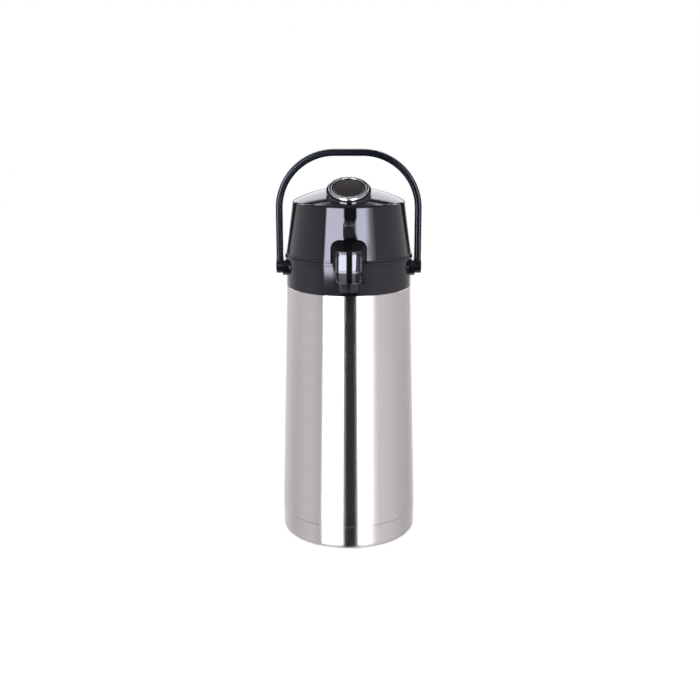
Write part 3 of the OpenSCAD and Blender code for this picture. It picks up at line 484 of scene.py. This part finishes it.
# ---------------------------------------------------------------- the spout
# The spout is two black mouldings over the outlet pipe, an upper cover with a ribbed channel
# and a lower one with the nozzle. A polished bowed plate is let into the front.
spout_round = 0.4 * mm
spout_tint = (0.9, 0.87, 1)
spout_cover = eased("spout_top", "spout_cover", spout_round)
hand_in(spout_cover, plastic_gloss, "body", "plastic_gloss", "spout_cover")
spout_under = eased("spout_bottom", "spout_under", spout_round)
plastic_under = moulded("plastic_under", dark=(0.0065, 0.006, 0.0075), light=(0.0085, 0.008, 0.0095),
                        smooth=0.1, rough=0.15, grain_size=1.2 * mm, grain_depth=0.003 * mm)
reflect(plastic_under, spout_tint, 0.22)
hand_in(spout_under, plastic_under, "body", "plastic_matte", "spout_under")
nozzle = eased("spout_nozzle", "nozzle", spout_round)
plastic_matte = moulded("plastic_matte", dark=(0.009, 0.0085, 0.0105), light=(0.014, 0.013, 0.016),
                        smooth=0.2, rough=0.28, grain_size=1.2 * mm, grain_depth=0.004 * mm)
reflect(plastic_matte, (0.9, 0.86, 1))
hand_in(nozzle, plastic_matte, "body", "plastic_matte", "nozzle")


def clipped(piece, *cuts):
    """Cuts a solid piece by planes, each a point and the direction that is taken away"""
    only(piece)
    bpy.ops.object.mode_set(mode="EDIT")
    for point, away in cuts:
        bpy.ops.mesh.select_all(action="SELECT")
        bpy.ops.mesh.bisect(plane_co=point, plane_no=away, use_fill=True, clear_outer=True)
    bpy.ops.mesh.select_all(action="SELECT")
    bpy.ops.mesh.remove_doubles(threshold=0.004 * mm)
    bpy.ops.mesh.dissolve_degenerate(threshold=0.002 * mm)
    bpy.ops.mesh.normals_make_consistent(inside=False)
    bpy.ops.object.mode_set(mode="OBJECT")
    piece.data.validate()


# The plate is a band of a wide turned ring. A lip runs along the cover's lower edge under it,
# and its two upper corners are round.
face_low, face_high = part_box("spout_face")
cover_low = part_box("spout_cover")[0]
bow_r = 26 * mm
bow_y = cover_low.y + bow_r
skin, back_in = 0.02 * mm, 0.05 * mm
lip_r = bow_r + 0.6 * mm
lip_foot, lip_top = cover_low.z + 0.2 * mm, cover_low.z + 1.7 * mm
lip_foot_r, lip_top_r, lip_lean = 0.2 * mm, 0.3 * mm, 0.03 * mm
plate_r = bow_y - face_low.y
plate_back_r = bow_r - 0.7 * mm
plate_foot = face_low.z + 0.1 * mm
plate_foot_r, plate_top_r, plate_lean = 0.2 * mm, 0.6 * mm, 0.25 * mm
corner_r = 4 * mm
spout_plate = turned("spout_plate", [
    (bow_r - back_in, lip_foot),
    *arc((lip_r - lip_foot_r, lip_foot + lip_foot_r), lip_foot_r, -90, 0, 3),
    *arc((lip_r - lip_lean - lip_top_r, lip_top - lip_top_r), lip_top_r, 0, 90, 3),
    (bow_r + skin, lip_top), (bow_r + skin, plate_foot),
    *arc((plate_r - plate_foot_r, plate_foot + plate_foot_r), plate_foot_r, -90, 0, 3),
    *arc((plate_r - plate_lean - plate_top_r, face_high.z - plate_top_r), plate_top_r, 0, 90, 5),
    (plate_back_r, face_high.z), (plate_back_r, plate_foot), (bow_r - back_in, face_low.z),
], sides=360, closed=True)
bpy.ops.object.mode_set(mode="EDIT")
bpy.ops.mesh.select_all(action="SELECT")
bpy.ops.transform.translate(value=(0, bow_y, 0))
bpy.ops.object.mode_set(mode="OBJECT")
corner_x, corner_z = face_high.x - corner_r, face_high.z - corner_r
corner_cuts = []
for lean in (15, 30, 45, 60, 75):
    for side in (-1, 1):
        away = Vector((side * math.cos(math.radians(lean)), 0, math.sin(math.radians(lean))))
        corner_cuts.append((Vector((side * corner_x, 0, corner_z)) + corner_r * away, away))
clipped(spout_plate, ((0, bow_y - bow_r / 2, 0), (0, 1, 0)), ((face_high.x, 0, 0), (1, 0, 0)),
        ((face_low.x, 0, 0), (-1, 0, 0)), *corner_cuts)
bpy.ops.object.shade_smooth_by_angle(angle=math.radians(35))
level(spout_plate)
plastic_face = moulded("plastic_face", gloss_dark, gloss_light, smooth=0.03, rough=0.05,
                       grain_size=2.5 * mm, grain_depth=0.001 * mm)
reflect(plastic_face, spout_tint, 0.8)
hand_in(spout_plate, plastic_face, "body", "plastic_face", "spout_face")


def beading(name, target, half_width, low, high, low_corner, high_corner, thick):
    """A thin round bead on the bowed front of a part of the spout: a rounded outline, laid on it"""
    front, near = cover_low.y - 2 * mm, 0.01 * mm
    bpy.ops.object.select_all(action="DESELECT")
    bpy.ops.mesh.primitive_plane_add(size=1, location=(0, front, (low + high) / 2),
                                     rotation=(math.pi / 2, 0, 0))
    bead = bpy.context.object
    bead.name = name
    bead.scale = (2 * half_width, high - low, 1)
    bpy.ops.object.transform_apply(location=True, rotation=True, scale=True)
    for edge_z, corner in ((low, low_corner), (high, high_corner)):
        for point in bead.data.vertices:
            at_edge, at_side = abs(point.co.z - edge_z), abs(abs(point.co.x) - half_width)
            point.select = at_edge < near and at_side < near
        bpy.ops.object.mode_set(mode="EDIT")
        bpy.ops.mesh.bevel(offset=corner, segments=8, affect="VERTICES")
        bpy.ops.mesh.select_all(action="DESELECT")
        bpy.ops.object.mode_set(mode="OBJECT")
    bpy.ops.object.mode_set(mode="EDIT")
    bpy.ops.mesh.select_all(action="SELECT")
    bpy.ops.mesh.delete(type="ONLY_FACE")
    bpy.ops.mesh.select_all(action="SELECT")
    bpy.ops.mesh.subdivide(number_cuts=5)
    bpy.ops.object.mode_set(mode="OBJECT")
    laid = bead.modifiers.new("laid", "SHRINKWRAP")
    laid.target = target
    laid.wrap_method = "PROJECT"
    laid.use_project_y = True
    bpy.ops.object.modifier_apply(modifier=laid.name)
    bpy.ops.object.convert(target="CURVE")
    bead.data.bevel_depth = thick
    bead.data.bevel_resolution = 3
    bpy.ops.object.convert(target="MESH")
    bpy.ops.object.shade_smooth()
    hand_in(bead, plastic_face, "body", "plastic_face")


cover_front_w, under_front_w, cover_front_h = 26 * mm, 25 * mm, 21.8 * mm
under_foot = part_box("nozzle")[1].z
rim_in, under_rim_in = 0.5 * mm, 0.6 * mm
beading("spout_rim", spout_cover, half_width=cover_front_w / 2 - rim_in,
        low=cover_low.z + rim_in, high=cover_low.z + cover_front_h - rim_in,
        low_corner=1.5 * mm, high_corner=5.6 * mm, thick=0.45 * mm)
beading("spout_under_rim", spout_under, half_width=under_front_w / 2 - under_rim_in,
        low=under_foot + rim_in, high=cover_low.z - rim_in,
        low_corner=2.5 * mm, high_corner=0.8 * mm, thick=0.4 * mm)


# ---------------------------------------------------------------- the lid
# The lid is one polished black moulding with a rounded top edge and a low satin dome. A plate
# is screwed to the inside, with the gasket that seals the throat of the flask.
dome_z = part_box("lid_shell")[1].z
satin_start, satin_end, satin = dome_z - 15.5 * mm, dome_z - 14 * mm, 0.1
plastic_lid = moulded("plastic_lid", gloss_dark, gloss_light, smooth=0.02, rough=0.05,
                      grain_size=2.5 * mm, grain_depth=0.002 * mm)
reflect(plastic_lid, gloss_tint)
tree = plastic_lid.node_tree
roughness = tree.nodes["Principled BSDF"].inputs["Roughness"]
place = add_node(tree, "ShaderNodeTexCoord").outputs["Object"]
height = add_node(tree, "ShaderNodeSeparateXYZ", {0: place}).outputs["Z"]
duller = spread(tree, height, 0.0, satin, satin_start, satin_end)
tree.links.new(combine(tree, "ADD", roughness.links[0].from_socket, duller), roughness)
dress(plastic_lid, "lid_shell")
dress(plastic_matte, "lid_base", "push_plate")


# ---------------------------------------------------------------- the bellows and the springs
# The pump is a moulded rubber bellows between the push plate and the lid's inner plate. A
# coiled spring inside it brings the button back, and a small one behind the latch does the same.
def yielding(name, node, material, slot, axis, anchor):
    """A copy of a soft carried-over part, shortened very slightly along its axis towards its fixed
    end
    """
    piece = merged_copy(name, node)
    slack = [1 - 0.003 * part for part in axis]
    bpy.ops.object.mode_set(mode="EDIT")
    bpy.ops.mesh.select_all(action="SELECT")
    bpy.ops.mesh.normals_make_consistent(inside=False)
    bpy.ops.transform.resize(value=slack, center_override=anchor)
    bpy.ops.object.mode_set(mode="OBJECT")
    bpy.ops.object.shade_smooth_by_angle(angle=math.radians(65))
    hand_in(piece, material, "lid", slot, node)
    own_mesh(piece)


bellows_low, bellows_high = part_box("bellows")
bellows_seat = (0, (bellows_low.y + bellows_high.y) / 2, bellows_low.z)
yielding("pump_bellows", "bellows", rubber, "rubber_black",
         (0, 0, 1), bellows_seat)
yielding("button_spring", "return_spring", steel_plain, "steel_plain",
         (0, 0, 1), bellows_seat)
catch_low, catch_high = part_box("latch_spring")
catch_seat = (0, catch_high.y, (catch_low.z + catch_high.z) / 2)
yielding("catch_spring", "latch_spring", steel_plain, "steel_plain",
         (0, 1, 0), catch_seat)


# ---------------------------------------------------------------- the push button
# The button is a black column cut at a slant, with a chromed bezel and a dark plate let in.
# The plate is slightly domed and has a fine pressed line round its edge.
button = eased("button_column", "button", 0.35 * mm)
hand_in(button, plastic_gloss, "pump", "plastic_gloss", "button")
chrome, tree, shader, place = new_material("chrome", (0.55, 0.55, 0.56), 1, 0.2)
haze = noise(tree, place, (120, 120, 120), 3)
tree.links.new(spread(tree, haze, 0.17, 0.24), shader.inputs["Roughness"])
button_ring = eased("button_bezel", "button_ring", 0.7 * mm, segments=3)
hand_in(button_ring, chrome, "pump", "chrome_ring", "button_ring")
badge_plate = moulded("badge_plate", dark=(0.020, 0.015, 0.016), light=(0.030, 0.022, 0.024),
                      smooth=0.42, rough=0.5, grain_size=0.7 * mm, grain_depth=0.01 * mm)
reflect(badge_plate, (1, 1, 1), 0.12)
dress(badge_plate, "button_badge")
badge_low, badge_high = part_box("button_badge")
badge_r = badge_high.x
badge_slope = math.radians(24)
badge_y = (badge_low.y + badge_high.y) / 2
badge_z = badge_high.z - badge_r * math.tan(badge_slope)
rim_wire, rim_flatness = 0.9 * mm, 0.45
bpy.ops.object.select_all(action="DESELECT")
bpy.ops.mesh.primitive_torus_add(
    major_radius=badge_r - rim_wire, minor_radius=rim_wire, major_segments=120, minor_segments=16,
    location=(0, badge_y, badge_z), rotation=(badge_slope, 0, 0))
badge_rim = bpy.context.object
badge_rim.name = "badge_rim"
badge_rim.scale = (1, 1 / math.cos(badge_slope), rim_flatness)
bpy.ops.object.transform_apply(location=True, rotation=True, scale=True)
bpy.ops.object.shade_smooth()
hand_in(badge_rim, plastic_gloss, "pump", "badge")


# ---------------------------------------------------------------- the latch
# A thumb pad that is pushed in to free the lid, moulded in one with its leg. Three raised arcs
# on the pad give the thumb its grip.
latch = eased("thumb_latch", "latch", 0.22 * mm)
plastic_latch = moulded("plastic_latch", dark=(0.012, 0.012, 0.0125), light=(0.018, 0.018, 0.019),
                        smooth=0.13, rough=0.18, grain_size=1.2 * mm, grain_depth=0.004 * mm)
reflect(plastic_latch, spout_tint)
hand_in(latch, plastic_latch, "latch", "plastic_matte", "latch")
latch_low, latch_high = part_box("latch")
latch_lean = math.radians(7.6)
grip_y, grip_z = latch_low.y + 2.15 * mm, latch_high.z - 5.95 * mm
grip_wire = 0.4 * mm
for count, ring_r in enumerate((1.6 * mm, 3.1 * mm, 4.6 * mm), 1):
    bpy.ops.object.select_all(action="DESELECT")
    bpy.ops.mesh.primitive_torus_add(
        major_radius=ring_r, minor_radius=grip_wire, major_segments=64, minor_segments=12,
        location=(0, grip_y, grip_z), rotation=(math.pi / 2 - latch_lean, 0, 0))
    grip = bpy.context.object
    grip.name = f"latch_grip_{count}"
    bpy.ops.object.transform_apply(location=True, rotation=True, scale=True)
    clipped(grip, ((0, 0, grip_z), (0, math.sin(latch_lean), -math.cos(latch_lean))))
    bpy.ops.object.shade_smooth_by_angle(angle=math.radians(50))
    hand_in(grip, plastic_latch, "latch", "plastic_matte")


# ---------------------------------------------------------------- the bail
# The carrying bail is a moulded strap with rounded edges. It turns on steel pins in the
# collar's pads, under flat caps of the same plastic.
plastic_bail = moulded("plastic_bail", dark=(0.0045, 0.006, 0.0095), light=(0.0075, 0.0095, 0.014),
                       smooth=0.17, rough=0.23, grain_size=3 * mm, grain_depth=0.004 * mm)
reflect(plastic_bail, (0.82, 0.86, 1), 0.3)
dress(plastic_bail, "bail", "bail_caps")
